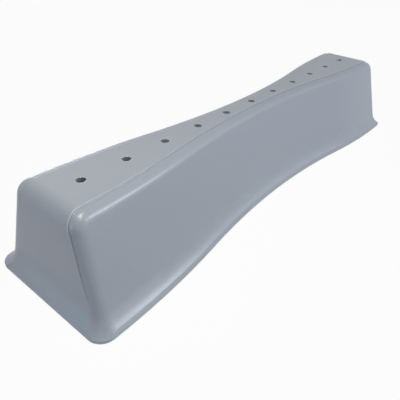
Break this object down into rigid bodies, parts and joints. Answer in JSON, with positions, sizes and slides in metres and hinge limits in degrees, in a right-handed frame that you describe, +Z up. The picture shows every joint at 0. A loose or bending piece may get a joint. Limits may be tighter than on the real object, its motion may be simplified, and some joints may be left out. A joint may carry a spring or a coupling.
{
  "type": "washing machine drum paddle",
  "caption": "Hollow moulded drum paddle with an hourglass plan, sloping walls, a flared foot and a row of drip holes along its flat crest; it lifts the laundry as a drum turns.",
  "frame": {"origin": "centre of the foot's outline, in the plane of the foot's rim", "axes": "+X along the length, +Y across it, +Z up from the foot to the crest"},
  "size_m": [0.243, 0.061, 0.0407],
  "materials": {
    "grey_polypropylene": "satin"
  },
  "bodies": {
    "root": {"drum_paddle": "grey_polypropylene"}
  },
  "joints": []
}
